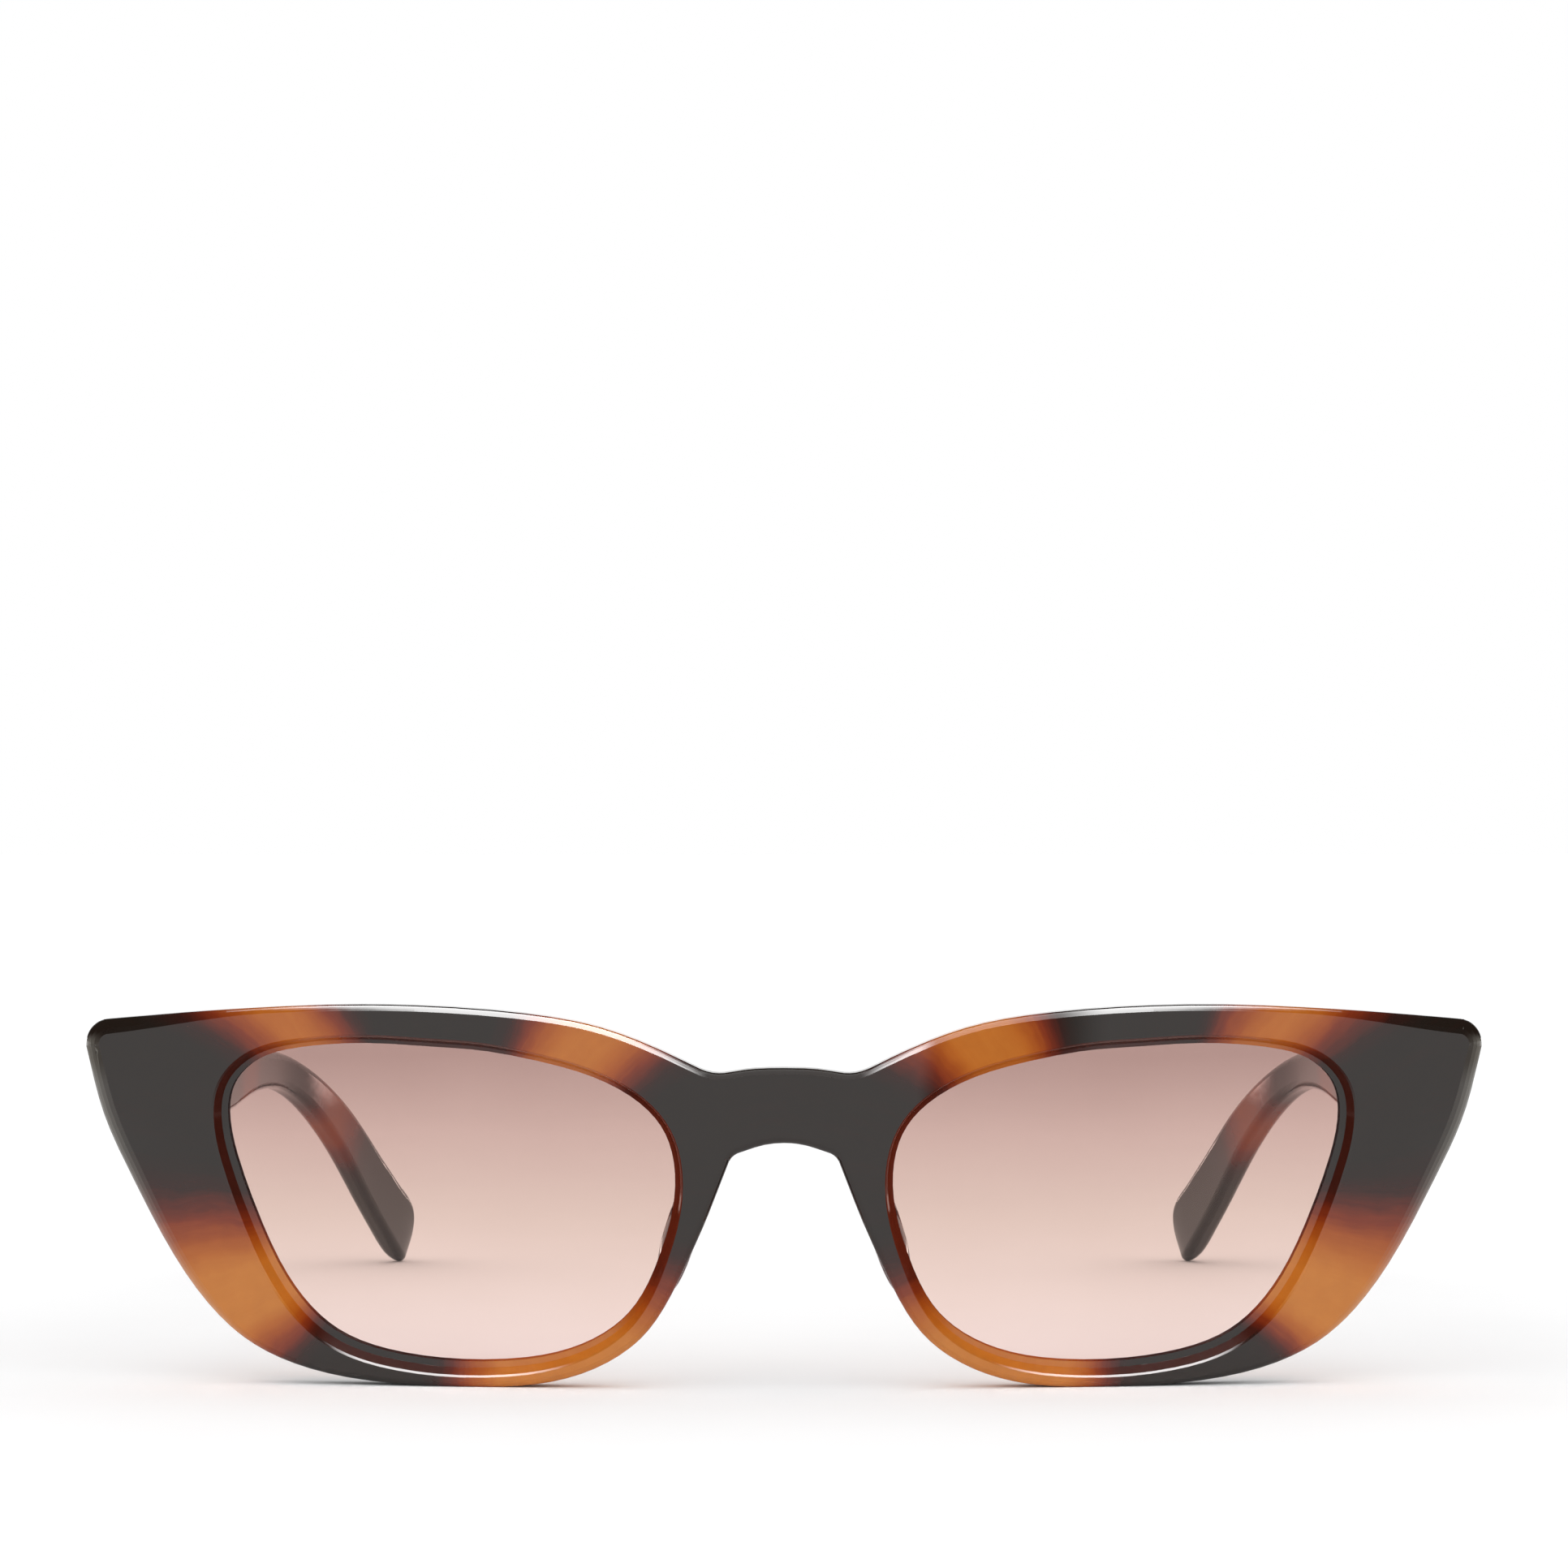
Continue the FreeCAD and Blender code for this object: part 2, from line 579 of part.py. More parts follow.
def nose_pad(front):
    """Pad behind the nose side of one rim. It flares outwards towards the back and follows its slope."""
    lean = math.radians(PAD_LEAN)
    long, wide = V(-math.sin(lean), 0, math.cos(lean)), V(math.cos(lean), 0, math.sin(lean))
    rings = []
    for y, x, half_long, half_wide in PAD_RINGS:
        points = []
        for i in range(2 * EDGE_POINTS):
            a = math.pi * i / EDGE_POINTS
            offset = long * (half_long * math.cos(a)) + wide * (half_wide * math.sin(a))
            points.append(V(x, y, PAD_Z) + offset)
        rings.append(closed_wire(points))
    return Part.makeLoft(rings, True, False).cut(front)


def micro_screws(places, direction):
    """Two or more screws at the places: (shapes that make room for them, finished screws)."""
    bodies, finished = [], []
    for place in places:
        body, slot = micro_screw(place, direction)
        bodies.append(body)
        finished.append(body.cut(slot))
    return bodies, Part.makeCompound(finished)


def opposite(shape):
    """The shape's mirror image on the other side of the face."""
    return shape.mirror(V(0, 0, 0), V(1, 0, 0))


def cut_both(shape, tool):
    return shape.cut(tool).cut(opposite(tool))


def front_parts():
    """The front and everything fixed to it: (the front, {name: part at +X})."""
    rim = lens_outline()
    blank = front_blank(front_outline())
    block = end_block()
    front = blank.fuse(block).fuse(opposite(block))
    front = cut_both(front, lens_opening(rim))
    below_floor = box(-BIG, BIG, -BIG, BIG, -BIG, 0)
    front = front.cut(below_floor)
    leaf = front_leaf()
    heads = [V(AXIS_X, BUTT_Y, HINGE_Z + side * FRONT_MICRO_Z) for side in (-1, 1)]
    bodies, screws = micro_screws(heads, V(0, -1, 0))
    for body in bodies:
        front = cut_both(front, body)
        leaf = leaf.cut(body)
    front = cut_both(front, leaf)
    sided = {
        "lens": lens(rim),
        "nose_pad": nose_pad(blank),
        "front_hinge_leaf": leaf,
        "front_leaf_screws": screws,
        "hinge_screw": hinge_screw(),
    }
    return front, sided


def temple_parts():
    """The pieces of one temple before it is turned to its lean, at +X."""
    leaf = temple_leaf()
    core = core_wire()
    temple = temple_body().cut(leaf).cut(core)
    bodies, screws = micro_screws([V(TEMPLE_IN, y, HINGE_Z) for y in TEMPLE_MICRO_Y], V(1, 0, 0))
    for body in bodies:
        temple = temple.cut(body)
        leaf = leaf.cut(body)
    return {"temple": temple, "temple_hinge_leaf": leaf, "temple_leaf_screws": screws, "temple_core": core}


def opened(shape, lean):
    """A piece of a temple turned about the hinge axis to its lean, and trimmed at the end block."""
    shape = shape.copy()
    shape.rotate(V(AXIS_X, AXIS_Y, 0), V(0, 0, 1), lean)
    past_butt = box(-BIG, BIG, BUTT_Y - BIG, BUTT_Y + TEMPLE_GAP, -BIG, BIG)
    return shape.cut(past_butt)


def export(name, shape):
    shape.translate(-ORIGIN)
    shape.exportStep("parts/" + name + ".step")
    print(name, shape.isValid(), round(shape.Volume, 2), len(shape.Solids))


if __name__ == "__main__":
    os.makedirs("parts", exist_ok=True)
    front_frame, fixed = front_parts()
    export("front_frame", front_frame)
    for name, shape in fixed.items():
        other = opposite(shape)
        export(name + "_left", shape)
        export(name + "_right", other)
    for name, shape in temple_parts().items():
        export(name + "_left", opened(shape, LEFT_LEAN))
        export(name + "_right", opposite(opened(shape, RIGHT_LEAN)))
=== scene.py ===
import bpy
import math
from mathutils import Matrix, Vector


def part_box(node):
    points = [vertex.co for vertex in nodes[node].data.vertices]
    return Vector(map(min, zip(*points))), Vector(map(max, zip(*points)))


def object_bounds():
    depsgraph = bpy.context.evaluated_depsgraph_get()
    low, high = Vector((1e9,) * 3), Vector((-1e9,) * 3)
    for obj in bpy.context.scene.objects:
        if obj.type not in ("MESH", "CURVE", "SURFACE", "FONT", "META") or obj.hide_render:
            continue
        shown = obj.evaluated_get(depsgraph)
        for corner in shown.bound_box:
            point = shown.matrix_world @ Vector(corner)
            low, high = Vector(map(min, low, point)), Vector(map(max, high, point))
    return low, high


# Looks of the cat-eye sunglasses: tortoiseshell acetate, gradient lenses and hinge metal, on a white floor.
# Lengths are in metres unless a comment says mm. The front faces -Y, and the wearer's left is +X.

MM = 0.001

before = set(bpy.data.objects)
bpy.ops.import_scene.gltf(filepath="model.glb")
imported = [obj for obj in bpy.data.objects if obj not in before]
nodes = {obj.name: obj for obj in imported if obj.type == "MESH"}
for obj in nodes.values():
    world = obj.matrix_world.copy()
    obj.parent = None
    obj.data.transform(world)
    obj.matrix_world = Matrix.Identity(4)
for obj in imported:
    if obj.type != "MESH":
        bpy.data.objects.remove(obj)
cad_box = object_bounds()
front_y = cad_box[0][1]
floor_z = cad_box[0][2]
scene = bpy.context.scene

lens_low, lens_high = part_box("lens_left")
LENS_X = (lens_low.x + lens_high.x) / 2 / MM  # mm, middle of either lens, sideways
LENS_Z = (lens_low.z + lens_high.z) / 2 / MM  # mm, and upwards
TINT_TOP = lens_high.z / MM
TINT_BOTTOM = lens_low.z / MM


# ---------------------------------------------------------------- node helpers

class Graph:
    """A material's or world's node tree, with short calls for adding and joining nodes."""

    def __init__(self, tree):
        self.tree = tree
        tree.nodes.clear()

    def add(self, kind, inputs=(), **settings):
        """A new node. Each input is a socket to join or a plain value."""
        node = self.tree.nodes.new("ShaderNode" + kind)
        for name, value in settings.items():
            setattr(node, name, value)
        for key, value in dict(inputs).items():
            if isinstance(value, bpy.types.NodeSocket):
                self.tree.links.new(value, node.inputs[key])
            else:
                node.inputs[key].default_value = value
        return node

    def math(self, operation, a, b=0.0, c=0.0, clamp=False):
        node = self.add("Math", {0: a, 1: b, 2: c}, operation=operation, use_clamp=clamp)
        return node.outputs[0]

    def vector(self, operation, a, b=(0, 0, 0)):
        node = self.add("VectorMath", {0: a, 1: b}, operation=operation)
        return node.outputs["Value" if operation in ("LENGTH", "DOT_PRODUCT", "DISTANCE") else "Vector"]

    def smooth(self, value, start, end, to_start=0.0, to_end=1.0):
        """The value eased from to_start to to_end as it goes from start to end."""
        inputs = {"Value": value, "From Min": start, "From Max": end, "To Min": to_start, "To Max": to_end}
        return self.add("MapRange", inputs, interpolation_type="SMOOTHSTEP").outputs["Result"]

    def mix(self, factor, a, b, blend="MIX"):
        node = self.add("Mix", {"Factor": factor}, data_type="RGBA", blend_type=blend)
        for socket, value in ((node.inputs[6], a), (node.inputs[7], b)):
            if isinstance(value, bpy.types.NodeSocket):
                self.tree.links.new(value, socket)
            else:
                socket.default_value = value
        return node.outputs[2]

    def ramp(self, value, stops):
        """Colour by value, straight between (value, colour) stops."""
        node = self.add("ValToRGB", {0: value})
        elements = node.color_ramp.elements
        while len(elements) < len(stops):
            elements.new(0.5)
        for element, (place, colour) in zip(elements, stops):
            element.position = place
            element.color = (*colour, 1.0)
        return node.outputs[0]

    def noise(self, vector, scale, detail=2.0, roughness=0.5, output=0):
        inputs = {"Vector": vector, "Scale": scale, "Detail": detail, "Roughness": roughness}
        node = self.add("TexNoise", inputs)
        return node.outputs[output]

    def combine(self, x, y, z):
        return self.add("CombineXYZ", {0: x, 1: y, 2: z}).outputs[0]

    def separate(self, vector):
        return self.add("SeparateXYZ", {0: vector}).outputs

    def surface(self, shader):
        self.add("OutputMaterial", {"Surface": shader})


def new_material(name):
    material = bpy.data.materials.new(name)
    material.use_nodes = True
    return material, Graph(material.node_tree)


def place_mm(g):
    """The shaded point in the part's own frame, in millimetres."""
    return g.vector("MULTIPLY", g.add("TexCoord").outputs["Object"], (1 / MM,) * 3)


def normal_parts(g):
    return g.separate(g.add("NewGeometry").outputs["Normal"])


def product(g, first, *others):
    for other in others:
        first = g.math("MULTIPLY", first, other)
    return first


def largest(g, first, *others):
    for other in others:
        first = g.math("MAXIMUM", first, other)
    return first


# ---------------------------------------------------------------- acetate

# colour through the sheet, from the near-black ground to the lightest amber
TORTOISE = (
    (0.00, (0.0150, 0.0100, 0.0075)), (0.16, (0.0300, 0.0085, 0.0060)), (0.33, (0.0900, 0.0130, 0.0060)),
    (0.55, (0.1950, 0.0270, 0.0065)), (0.80, (0.3300, 0.0680, 0.0080)), (1.00, (0.4300, 0.1150, 0.0130)),
    (1.20, (0.5300, 0.1800, 0.0260)),
)
RAMP_END = 1.25  # amount at the right end of the colour ramp

# amber patches round each lens, in degrees (0 towards the temple, 90 up):
# start, end, how soft the start is, how soft the end is, strength
RIM_PATCHES = (
    (38, 58, 18, 19, 1.02),
    (115, 144, 24, 20, 1.08),
    (203, 265, 34, 28, 1.20),
    (320, 354, 20, 32, 1.20),
)
STREAK_DEPTH = 0.30  # how far fine streaks change the amount in the soft edges of a patch
STREAK_FLOOR = 0.35  # share of that depth left outside the soft edges
BEVEL_FACING = (0.15, 0.28)  # how far a surface turns towards the middle of its lens, to count as its bevel
BEVEL_DEEPER = 0.10  # share of the amount that the bevels round the lenses lose
NOSE_PAINTED_GLOW = 0.36  # least amount on the bevel beside the nose, a painted glow of light through the thin acetate
THIN_PAINTED_GLOW = 0.20  # and along the rest of it
NOSE_PAINTED_GLOW_REACH = (11.0, 19.0)  # mm aside, where the first fades into the second

SHINE = 0.5  # Principled specular level of polished acetate
FAINT = 0.03  # and where it mirrors only shade
STEEP_UP = (0.50, 0.62)  # upward part of the normal, on the steep bevels under the lenses
NOSE_END = (15.0, 18.0)  # mm aside, where the bevel beside the nose ends
TEMPLE_END = (47.0, 50.0)  # mm aside, where the bevel towards the temple starts
WING_TIP_ASIDE = (64.0, 66.0)  # mm
WING_TIP_UP = (5.0, 8.0)  # mm
WING_TIP_TURN = (-0.92, -0.86)  # y part of the normal, between the face and the bevel of a wing tip
CREST_ASIDE = (7.5, 11.0)  # mm, half the width of the bridge's crest
CREST_UP = (0.06, 0.20)  # upward part of the normal there
BROW_START = (13.0, 15.5)  # mm, the brow patch that mirrors shade, on the wearer's left
BROW_END = (27.0, 33.0)  # mm
BROW_UP = (1.0, 4.0)  # mm
BROW_SHARE = 0.85

# painted edge light: a light grey-beige tone mixed into the colour of the outer edges of the wings and
# cheeks, standing in for the soft light along them
PAINTED_EDGE_LIGHT_TONE = (0.50, 0.47, 0.41, 1.0)
PAINTED_EDGE_LIGHT_SHARE = 0.24  # of the painted edge light over the acetate's own colour
EDGE_TURN_IN = (0.30, 0.86)  # outward part of the normal, where the painted edge light comes in
EDGE_TURN_OUT = (0.90, 0.98)  # and where it goes again
EDGE_UP = (0.05, 0.30)  # upward part of the normal, where it goes
EDGE_BACK = (-0.30, -0.15)  # y part of the normal, where it goes
EDGE_ASIDE = (45.0, 52.0)  # mm aside, where it starts

# red-brown patches along a temple: place and half length in mm of y, softness, strength
TEMPLE_PATCHES = ((118.0, 8.0, 15.0, 0.72), (70.0, 7.0, 10.0, 0.60), (27.0, 6.0, 9.0, 0.80))
TEMPLE_SLANT = -0.55  # mm along for each mm up
TEMPLE_STREAK_DEPTH = 0.22

BUMP_HEIGHT = 0.00003


def warped(g, place, scale, reach):
    """The place pushed about by soft noise, up to reach mm either way."""
    shift = g.vector("SUBTRACT", g.noise(place, scale, detail=1.5, output=1), (0.5, 0.5, 0.5))
    return g.vector("ADD", place, g.vector("MULTIPLY", shift, (2 * reach,) * 3))


def patch(g, distance, half, softness, strength):
    """Amount in one patch: its strength up to half a length from its middle, with a soft edge there."""
    reach = g.math("ABSOLUTE", distance)
    return g.smooth(reach, half - softness / 2, half + softness / 2, strength, 0.0)


def around_lens(g, place):
    """Angle in degrees round the nearer lens, 0 towards the temple and 90 up, and mm from its middle."""
    px, py, pz = g.separate(place)
    out = g.math("SUBTRACT", g.math("ABSOLUTE", px), LENS_X)
    up = g.math("SUBTRACT", pz, LENS_Z)
    angle = g.math("DEGREES", g.math("ARCTAN2", up, out))
    return angle, g.vector("LENGTH", g.combine(out, up, 0.0))


def streaks(g, along, across):
    """Fine uneven streaks, drawn out where across changes slowly."""
    fine = g.noise(g.combine(along, across, 0.0), 1.0, detail=4.0, roughness=0.65)
    return g.math("SUBTRACT", fine, 0.5)


def rim_amount(g, place):
    """Amber over the front: soft patches round each lens, streaked outwards from it."""
    loose = warped(g, warped(g, place, 0.11, 1.3), 0.5, 0.35)
    angle, radius = around_lens(g, loose)
    amounts = []
    for start, end, start_soft, end_soft, strength in RIM_PATCHES:
        half = (end - start) / 2
        beyond = g.math("WRAP", g.math("SUBTRACT", angle, start + half), 180.0, -180.0)
        rising = g.smooth(beyond, -half - start_soft / 2, start_soft / 2 - half, 0.0, strength)
        falling = g.smooth(beyond, half - end_soft / 2, half + end_soft / 2, strength, 0.0)
        amounts.append(g.math("MINIMUM", rising, falling))
    amount = largest(g, *amounts)
    side = g.math("SIGN", g.separate(place)[0])
    fine = streaks(g, g.math("MULTIPLY", angle, 0.45), g.math("MULTIPLY_ADD", radius, 0.10, side))
    off_edge = g.math("ABSOLUTE", g.math("MULTIPLY_ADD", amount, 1.8, -0.9))
    depth = g.math("ADD", g.math("SUBTRACT", 1.0, off_edge, clamp=True), STREAK_FLOOR)
    return g.math("MULTIPLY_ADD", g.math("MULTIPLY", fine, depth), STREAK_DEPTH, amount)


def inner_bevel(g, place):
    """1 on the bevels and ledges that run round the lenses, 0 elsewhere on the front."""
    px, py, pz = g.separate(place)
    nx, ny, nz = normal_parts(g)
    inwards = g.math("SUBTRACT", LENS_X, g.math("ABSOLUTE", px))
    towards = g.combine(inwards, 0.0, g.math("SUBTRACT", LENS_Z, pz))
    normal = g.combine(g.math("MULTIPLY", nx, g.math("SIGN", px)), ny, nz)
    facing = g.vector("DOT_PRODUCT", g.vector("NORMALIZE", towards), normal)
    return g.smooth(facing, *BEVEL_FACING)


def front_amount(g, place):
    """Amber over the front. The bevels round the lenses are deeper in tone and never quite black, because a
    painted glow of light through the thin acetate lifts them.
    """
    amount = rim_amount(g, place)
    aside = g.math("ABSOLUTE", g.separate(place)[0])
    # painted glow: the least amount on the bevels, higher beside the nose
    least = g.smooth(aside, *NOSE_PAINTED_GLOW_REACH, NOSE_PAINTED_GLOW, THIN_PAINTED_GLOW)
    bevel = inner_bevel(g, place)
    deeper = g.math("MULTIPLY", amount, g.math("MULTIPLY_ADD", bevel, -BEVEL_DEEPER, 1.0))
    return g.math("MAXIMUM", deeper, g.math("MULTIPLY", bevel, least))


def pad_amount(g, place):
    """The pads are thin and let light through. That light is painted into their colour as a glow, so they
    are reddish wherever the sheet is dark.
    """
    return g.math("MAXIMUM", rim_amount(g, place), NOSE_PAINTED_GLOW)


def front_shine(g, place):
    """Mirror strength, faint on steep bevels, wing tips, the bridge's crest and one brow patch."""
    px, py, pz = g.separate(place)
    aside = g.math("ABSOLUTE", px)
    nx, ny, nz = normal_parts(g)
    ends = g.math("MAXIMUM", g.smooth(aside, *NOSE_END, 1.0, 0.0), g.smooth(aside, *TEMPLE_END))
    steep = g.math("MULTIPLY", inner_bevel(g, place), g.math("MAXIMUM", g.smooth(nz, *STEEP_UP), ends))
    tip_region = product(g, g.smooth(aside, *WING_TIP_ASIDE), g.smooth(pz, *WING_TIP_UP))
    tip = product(g, tip_region, g.smooth(ny, *WING_TIP_TURN))
    crest = product(g, g.smooth(aside, *CREST_ASIDE, 1.0, 0.0), g.smooth(nz, *CREST_UP))
    brow_across = product(g, g.smooth(px, *BROW_START), g.smooth(px, *BROW_END, BROW_SHARE, 0.0))
    brow = product(g, brow_across, g.smooth(pz, *BROW_UP))
    return g.math("MULTIPLY_ADD", largest(g, steep, tip, crest, brow), FAINT - SHINE, SHINE)


def painted_edge_light(g, place):
    """Mask of the painted edge light: 1 on the rounded outer edges of the wings and cheeks, where light
    comes through from the side.
    """
    px = g.separate(place)[0]
    nx, ny, nz = normal_parts(g)
    out = g.math("MULTIPLY", nx, g.math("SIGN", px))
    band = product(g, g.smooth(out, *EDGE_TURN_IN), g.smooth(out, *EDGE_TURN_OUT, 1.0, 0.0))
    front = product(g, g.smooth(nz, *EDGE_UP, 1.0, 0.0), g.smooth(ny, *EDGE_BACK, 1.0, 0.0))
    return product(g, band, front, g.smooth(g.math("ABSOLUTE", px), *EDGE_ASIDE))


def temple_amount(g, place):
    """Red-brown patches that cross a temple at a slant."""
    loose = warped(g, warped(g, place, 0.10, 2.2), 0.45, 0.5)
    px, py, pz = g.separate(loose)
    slanted = g.math("MULTIPLY_ADD", pz, TEMPLE_SLANT, py)
    amounts = []
    for middle, half, softness, strength in TEMPLE_PATCHES:
        amounts.append(patch(g, g.math("SUBTRACT", slanted, middle), half, softness, strength))
    fine = streaks(g, g.math("MULTIPLY", py, 0.25), g.math("MULTIPLY", pz, 1.3))
    return g.math("MULTIPLY_ADD", fine, TEMPLE_STREAK_DEPTH, largest(g, *amounts))


def acetate(name, pattern, shine=None, edge=None):
    """Polished tortoiseshell acetate: a dark sheet with soft amber patches that run right through it."""
    material, g = new_material(name)
    place = place_mm(g)
    amount = g.math("DIVIDE", pattern(g, place), RAMP_END, clamp=True)
    colour = g.ramp(amount, [(stop / RAMP_END, tone) for stop, tone in TORTOISE])
    mottle = g.noise(place, 0.5, detail=3.0)
    dulled = g.ramp(mottle, ((0.30, (0.94, 0.92, 0.90)), (0.70, (1.0, 1.0, 1.0))))
    colour = g.mix(1.0, colour, dulled, "MULTIPLY")
    # painted edge light: where the edge mask is given, a light grey-beige tone is mixed into the colour
    if edge:
        colour = g.mix(g.math("MULTIPLY", edge(g, place), PAINTED_EDGE_LIGHT_SHARE), colour, PAINTED_EDGE_LIGHT_TONE)
    wave = g.noise(place, 0.7, detail=1.0)
    scuffs = g.noise(place, 9.0, detail=3.0)
    bump = g.add("Bump", {"Strength": 0.12, "Distance": BUMP_HEIGHT, "Height": wave})
    shader = g.add("BsdfPrincipled", {
        "Base Color": colour,
        "Roughness": g.smooth(scuffs, 0.35, 0.75, 0.045, 0.085),
        "IOR": 1.50,
        "Specular IOR Level": shine(g, place) if shine else SHINE,
        "Normal": bump.outputs[0],
    })
    g.surface(shader.outputs[0])
    return material


# ---------------------------------------------------------------- lenses

# share of light that one face lets through, from the bottom of the lens to the top
TINT = (
    (0.05, (0.970, 0.870, 0.842)), (0.22, (0.925, 0.816, 0.776)), (0.46, (0.845, 0.727, 0.679)),
    (0.71, (0.767, 0.631, 0.594)), (0.95, (0.650, 0.514, 0.484)),
)
CLOUD = 3.0  # mm, how far soft noise moves the tint up and down
LENS_IOR = 1.30  # coated, so it mirrors less than bare plastic


def tinted_lens(name):
    """Clear sheet with a rose-brown tint that fades downwards. Light crosses two faces."""
    material, g = new_material(name)
    place = place_mm(g)
    cloud = g.math("MULTIPLY_ADD", g.noise(place, 0.05, detail=2.0), CLOUD, -CLOUD / 2)
    above = g.math("SUBTRACT", g.math("ADD", g.separate(place)[2], cloud), TINT_BOTTOM)
    up = g.math("DIVIDE", above, TINT_TOP - TINT_BOTTOM, clamp=True)
    see = g.add("BsdfTransparent", {"Color": g.ramp(up, TINT)})
    gloss = g.add("BsdfGlossy", {"Color": (1, 1, 1, 1), "Roughness": 0.02})
    outer = g.math("SUBTRACT", 1.0, g.add("NewGeometry").outputs["Backfacing"])
    mirrored = g.math("MULTIPLY", g.add("Fresnel", {"IOR": LENS_IOR}).outputs[0], outer)
    g.surface(g.add("MixShader", {0: mirrored, 1: see.outputs[0], 2: gloss.outputs[0]}).outputs[0])
    return material


# ---------------------------------------------------------------- metals

BRUSHED = (2.0, 2.0, 22.0)  # noise cells per unit: long in x and y, so that the lines lie level
DULL = 0.82  # colour of the darkest brush lines, as a share of the lightest
ROUGHER = 0.12  # and how much rougher the lines are


def metal(name, colour, roughness, brush):
    """Drawn and tumbled hinge metal, with fine level brush lines."""
    material, g = new_material(name)
    lines = g.noise(g.vector("MULTIPLY", place_mm(g), BRUSHED), 1.6, detail=3.0)
    tone = g.ramp(lines, ((0.3, tuple(c * DULL for c in colour)), (0.7, colour)))
    bump = g.add("Bump", {"Strength": brush, "Distance": BUMP_HEIGHT, "Height": lines})
    shader = g.add("BsdfPrincipled", {
        "Base Color": tone,
        "Metallic": 1.0,
        "Roughness": g.smooth(lines, 0.3, 0.7, roughness, roughness + ROUGHER),
        "Normal": bump.outputs[0],
    })
    g.surface(shader.outputs[0])
    return material


# ---------------------------------------------------------------- assignment

def assign(prefix, material):
    """Give every node whose name starts with prefix this material."""
    for name, node in nodes.items():
        if name.startswith(prefix):
            for slot in node.material_slots:
                slot.material = material


# the longer prefixes come later, so that they replace what "temple" gave them
hinge_metal = metal("hinge_metal", (0.62, 0.60, 0.56), 0.26, 0.25)
assign("front_frame", acetate("front_acetate", front_amount, front_shine, painted_edge_light))
assign("nose_pad", acetate("pad_acetate", pad_amount))
assign("temple", acetate("temple_acetate", temple_amount))
assign("temple_hinge_leaf", hinge_metal)
assign("front_hinge_leaf", hinge_metal)
assign("lens", tinted_lens("lens_tint"))
assign("temple_core", metal("core_metal", (0.60, 0.58, 0.55), 0.32, 0.3))
steel = metal("screw_metal", (0.66, 0.65, 0.63), 0.20, 0.12)
for screws in ("front_leaf_screws", "temple_leaf_screws", "hinge_screw"):
    assign(screws, steel)


# ---------------------------------------------------------------- studio

FILL = 1.10  # of the white tent, as matt surfaces see it
SOFTBOX = 20.0  # of the panel overhead, which only polished surfaces mirror
SHADE = 0.04  # of the dark parts of the studio, in mirror view
SIDE_PANEL = 4.5  # of the lit floor beside the sunglasses, in mirror view

# directions in the studio, as parts of a unit vector
PANEL_ASIDE = (0.24, 0.44)
PANEL_UP = (0.48, 0.56)
PANEL_BACK = (0.02, 0.09)
CLOTH_UP = (0.26, 0.36)
CLOTH_ASIDE = (0.50, 0.62)

FLOOR_REACH = 4.0
FLOOR_TONES = ((0.3, (0.955, 0.957, 0.96)), (0.7, (0.965, 0.967, 0.97)))
LIT_ASIDE = (0.24, 0.42)  # floor beside the sunglasses that polished edges mirror
LIT_FROM_Y = (-0.34, -0.16)

CAMERA_BACK = 0.530  # from the front
CAMERA_UP = 0.06035  # from the floor
CAMERA_LENS_MM = 122.05
SENSOR_MM = 36.0
NEAREST_SEEN = 0.01


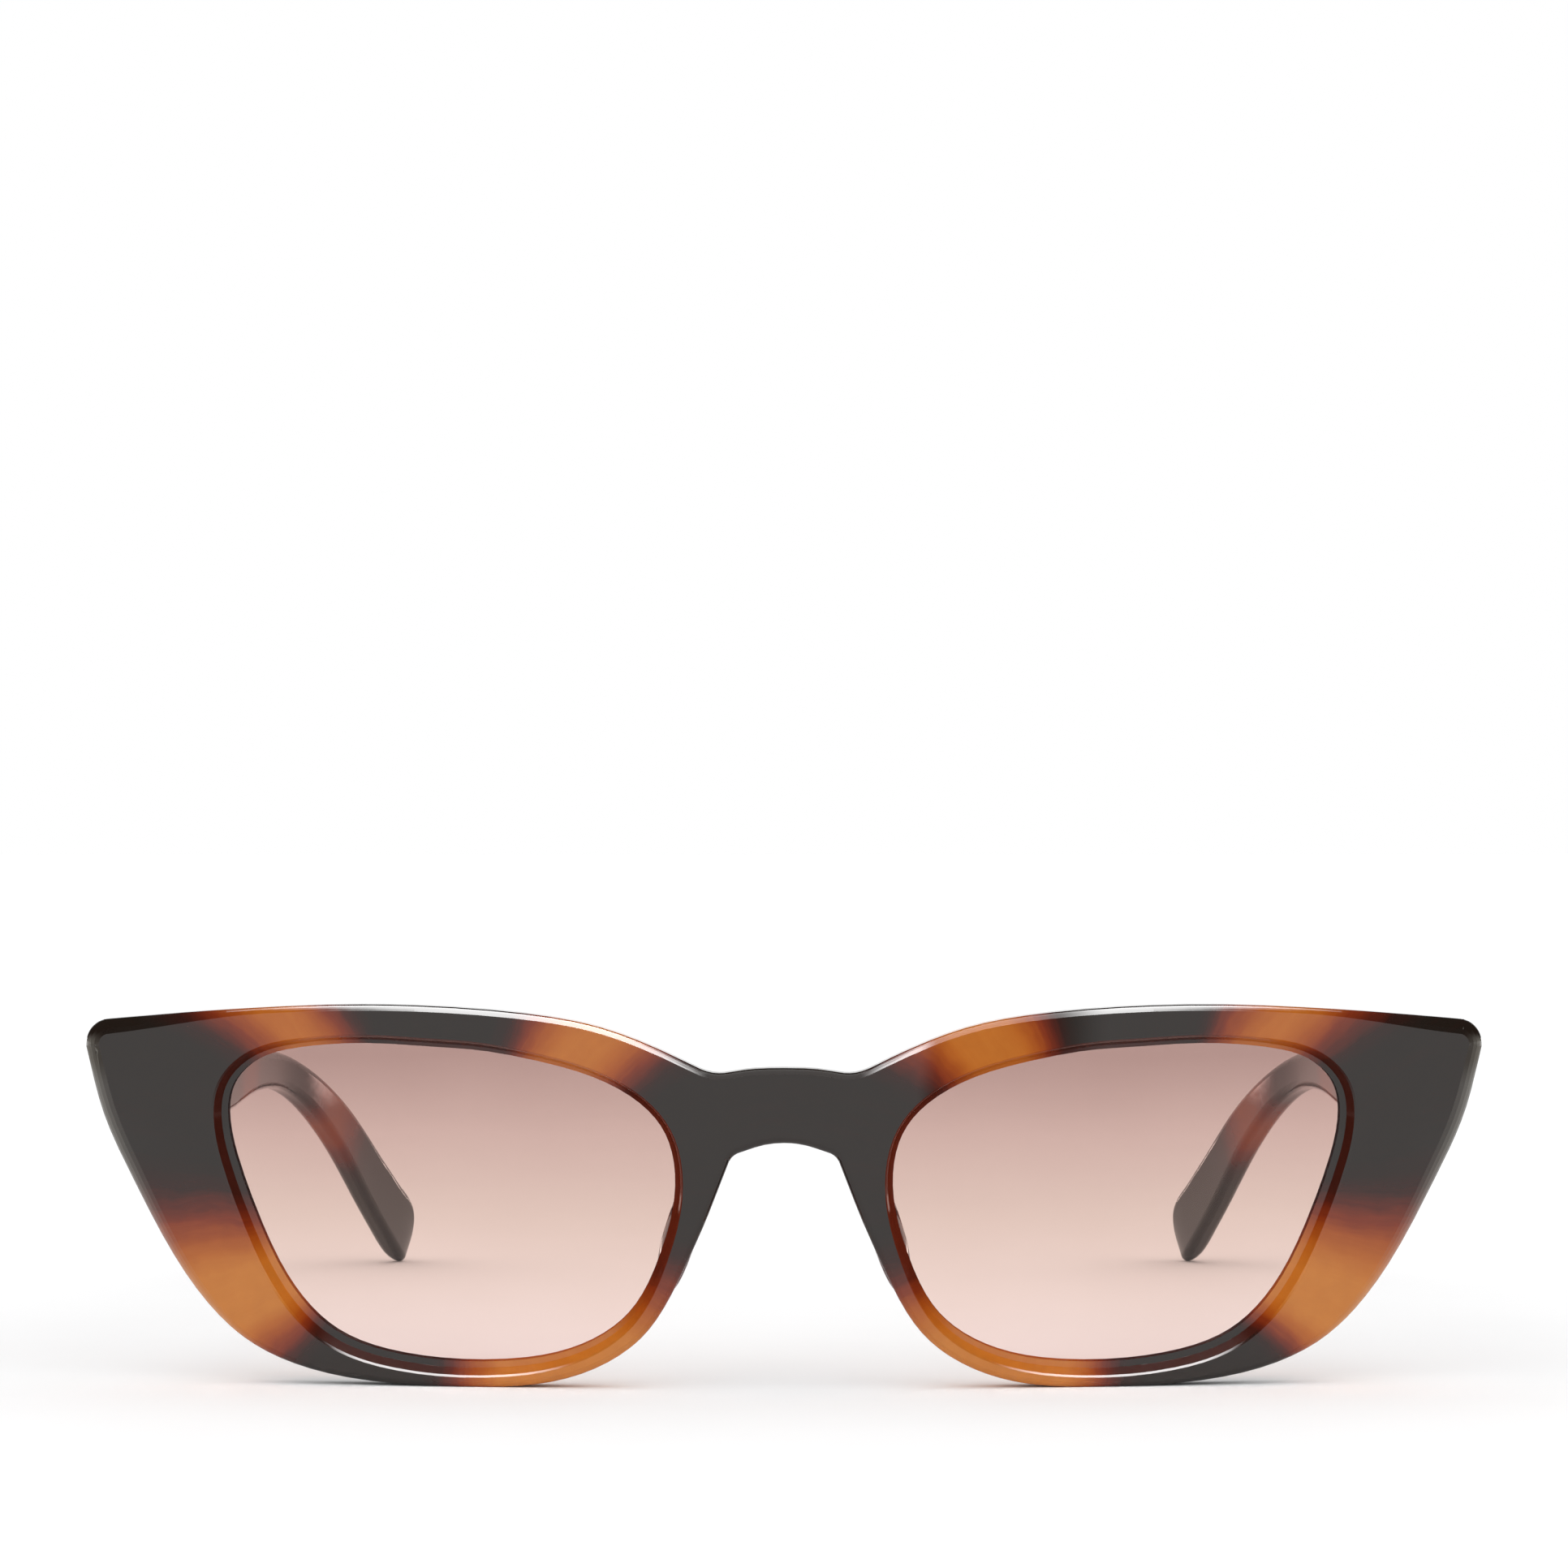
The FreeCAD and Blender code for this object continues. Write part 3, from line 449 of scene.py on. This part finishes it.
def studio_world():
    """White tent. Polished surfaces mirror a bright panel above the front, with dark cloth round it."""
    world = bpy.data.worlds.new("studio")
    scene.world = world
    world.use_nodes = True
    g = Graph(world.node_tree)
    x, y, z = g.separate(g.add("TexCoord").outputs["Generated"])
    aside = g.math("ABSOLUTE", x)
    panel = product(g, g.smooth(aside, *PANEL_ASIDE, 1.0, 0.0), g.smooth(z, *PANEL_UP))
    panel = product(g, panel, g.smooth(y, *PANEL_BACK, 1.0, 0.0))
    cloth = g.math("MAXIMUM", g.smooth(z, *CLOTH_UP), g.smooth(aside, *CLOTH_ASIDE))
    mirrored = g.math("MULTIPLY_ADD", cloth, SHADE - FILL, FILL)
    mirrored = g.math("MULTIPLY_ADD", panel, SOFTBOX, mirrored)
    ray = g.add("LightPath")
    strength = g.math("MULTIPLY_ADD", ray.outputs["Is Glossy Ray"], g.math("SUBTRACT", mirrored, FILL), FILL)
    unseen = g.math("SUBTRACT", 1.0, ray.outputs["Is Camera Ray"])
    shown = g.math("MULTIPLY_ADD", unseen, g.math("SUBTRACT", strength, 1.0), 1.0)
    background = g.add("Background", {"Color": (1, 1, 1, 1), "Strength": shown})
    g.add("OutputWorld", {"Surface": background.outputs[0]})


def white_floor():
    """White floor under the sunglasses, brighter beside them in mirror view."""
    mesh = bpy.data.meshes.new("floor")
    corners = [(x * FLOOR_REACH, y * FLOOR_REACH, floor_z) for x, y in ((-1, -1), (1, -1), (1, 1), (-1, 1))]
    mesh.from_pydata(corners, [], [(0, 1, 2, 3)])
    floor = bpy.data.objects.new("floor", mesh)
    scene.collection.objects.link(floor)
    material, g = new_material("floor_white")
    place = g.add("TexCoord").outputs["Object"]
    x, y, z = g.separate(place)
    lit = product(g, g.smooth(g.math("ABSOLUTE", x), *LIT_ASIDE), g.smooth(y, *LIT_FROM_Y))
    mirrored = g.add("LightPath").outputs["Is Glossy Ray"]
    panel = g.add("Emission", {"Strength": product(g, mirrored, lit, SIDE_PANEL)})
    matt = g.add("BsdfDiffuse", {"Color": g.ramp(g.noise(place, 60.0, detail=2.0), FLOOR_TONES)})
    g.surface(g.add("AddShader", {0: matt.outputs[0], 1: panel.outputs[0]}).outputs[0])
    mesh.materials.append(material)


def camera():
    """Level camera in front of the middle, a little above the sunglasses."""
    data = bpy.data.cameras.new("camera")
    data.sensor_width = SENSOR_MM
    data.lens = CAMERA_LENS_MM
    data.clip_start = NEAREST_SEEN
    cam = bpy.data.objects.new("camera", data)
    cam.location = (0, front_y - CAMERA_BACK, floor_z + CAMERA_UP)
    cam.rotation_euler = (math.pi / 2, 0, 0)
    scene.collection.objects.link(cam)
    scene.camera = cam


studio_world()
white_floor()
camera()
scene.view_settings.view_transform = "Standard"
scene.cycles.transparent_max_bounces = 24
